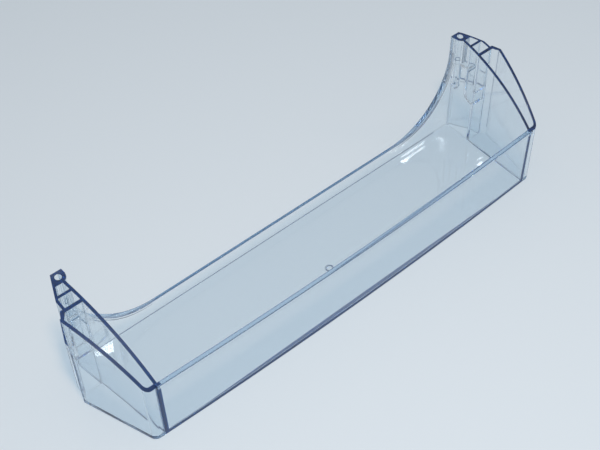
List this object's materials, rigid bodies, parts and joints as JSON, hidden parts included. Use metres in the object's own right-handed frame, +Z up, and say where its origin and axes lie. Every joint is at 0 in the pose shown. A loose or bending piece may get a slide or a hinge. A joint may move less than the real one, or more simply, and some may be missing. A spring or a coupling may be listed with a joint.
{
  "type": "refrigerator door bin",
  "caption": "Clear one-piece door bin with a bowed front, open end pockets, arched end walls, a low flared back and hollow hook towers.",
  "frame": {"origin": "under the middle of the bin, on the plane that its foot rests on", "axes": "+X runs along the bin, -Y faces the room, +Y faces the door, +Z is up"},
  "size_m": [0.4802, 0.1116, 0.1068],
  "materials": {
    "clear_plastic": "clear, polished"
  },
  "bodies": {
    "root": {"door_bin": "clear_plastic"}
  },
  "joints": []
}
